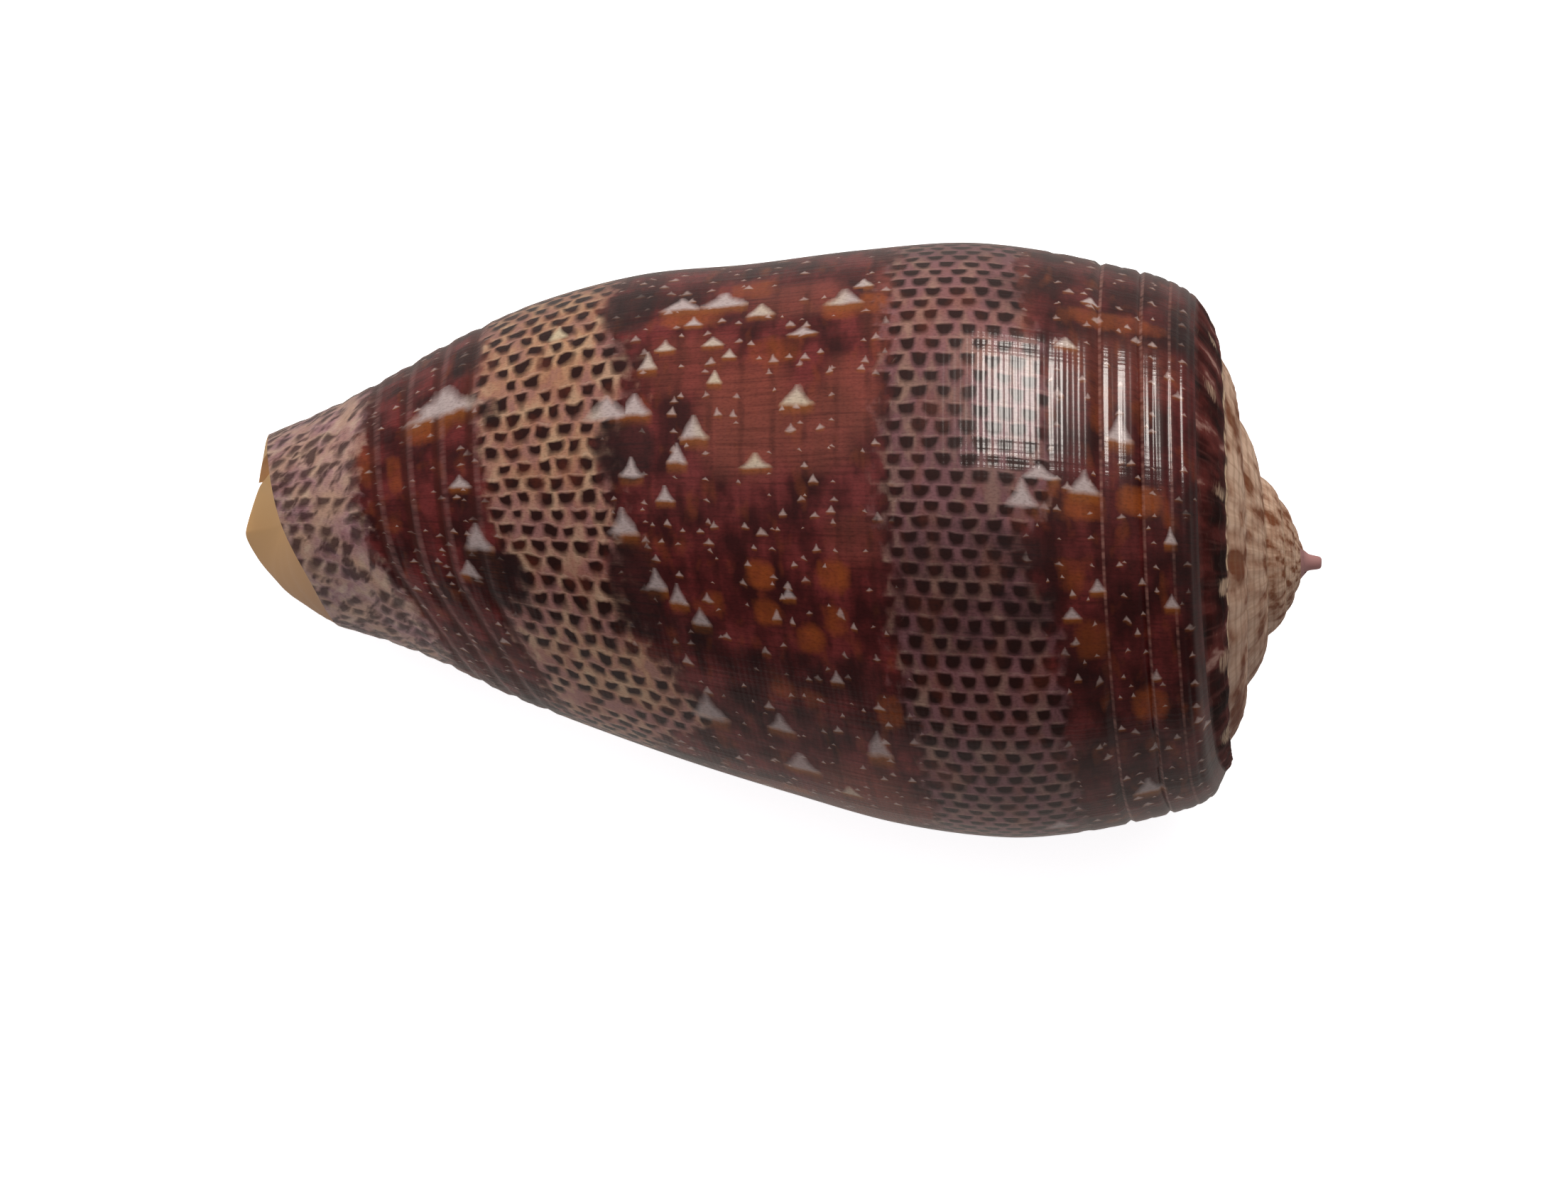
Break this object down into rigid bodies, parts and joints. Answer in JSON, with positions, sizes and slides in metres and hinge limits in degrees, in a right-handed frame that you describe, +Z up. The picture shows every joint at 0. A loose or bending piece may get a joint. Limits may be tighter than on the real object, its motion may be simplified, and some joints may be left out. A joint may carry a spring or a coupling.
{
  "type": "cone seashell",
  "caption": "Glossy conical seashell lying on its narrow opening, with a wide rounded shoulder, a low stepped spire ending in a small nub, and a long slit along the underside.",
  "frame": {"origin": "centre of the bounding box on the surface the shell rests on", "axes": "+Z up, +X toward the apex of the spire, +Y toward the outer lip side"},
  "size_m": [0.0474, 0.0262, 0.0245],
  "materials": {
    "shell": "natural shell with a glossy worn-smooth surface, dark red-brown with lilac bands"
  },
  "bodies": {
    "root": {"shell": "shell"}
  },
  "joints": []
}
